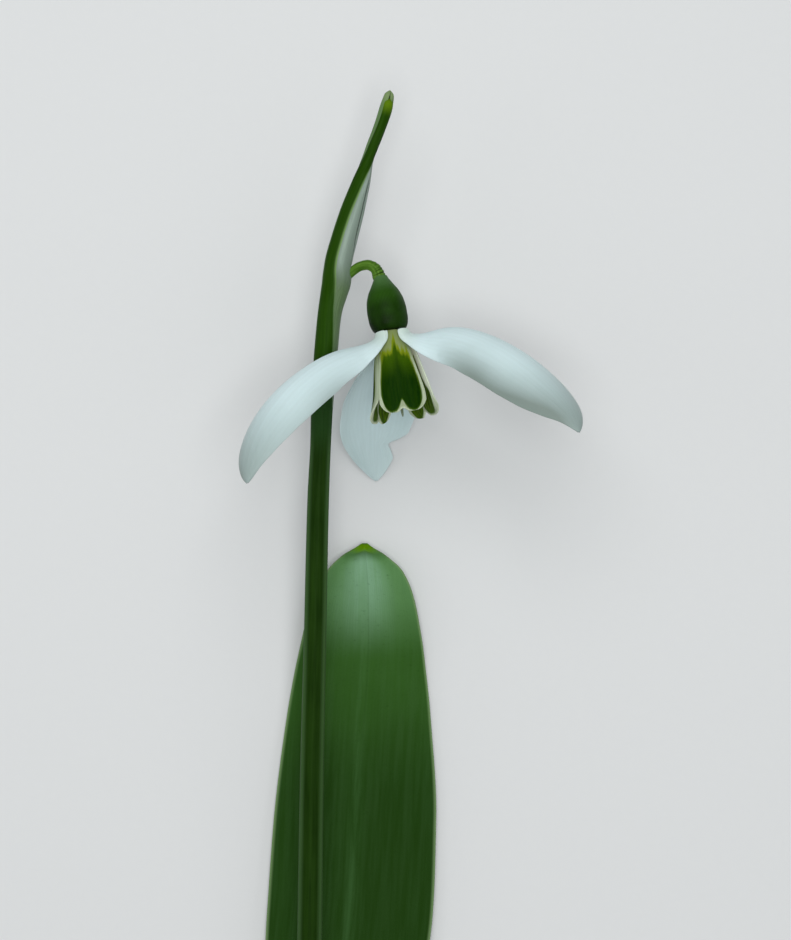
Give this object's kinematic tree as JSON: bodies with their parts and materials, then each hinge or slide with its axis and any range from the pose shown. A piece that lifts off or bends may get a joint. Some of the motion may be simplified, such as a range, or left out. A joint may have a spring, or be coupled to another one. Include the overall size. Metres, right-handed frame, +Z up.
{
  "type": "snowdrop flower",
  "caption": "Picked snowdrop with its leaf, lying on its back: stalk, spathe, arched pedicel, ovary and a nodding white flower with green-marked inner petals.",
  "frame": {"origin": "middle of the flat spot on the leaf's back that rests on the surface", "axes": "+Y along the stalk from its cut end towards the spathe's tip, +Z up from the surface, +X towards the flower's side"},
  "size_m": [0.0424, 0.1609, 0.0295],
  "materials": {
    "scape_green": "matte living stalk, dark green with a paler bloom along its edges",
    "spathe_green": "satin leafy keels with a pale see-through membrane between them",
    "pedicel_green": "satin thin stalk, bright green, wrinkled near the ovary",
    "ovary_green": "satin dark green with a grey bloom towards its neck",
    "petal_white": "soft white petal with faint lengthwise veins",
    "inner_petal": "white petal with a dark green mark and green-striped inside",
    "anther_orange": "matte orange-yellow anther",
    "style_pale": "smooth pale green style",
    "leaf_green": "leathery grey-green blade with a paler midrib",
    "sheath_pale": "thin pale papery sheath"
  },
  "bodies": {
    "root": {"scape": "scape_green", "spathe": "spathe_green", "pedicel": "pedicel_green", "ovary": "ovary_green", "outer_petal_left": "petal_white", "outer_petal_right": "petal_white", "outer_petal_rear": "petal_white", "inner_petal_front": "inner_petal", "inner_petal_left": "inner_petal", "inner_petal_right": "inner_petal", "stamens": "anther_orange", "style": "style_pale", "leaf": "leaf_green", "basal_sheath": "sheath_pale"}
  },
  "joints": []
}
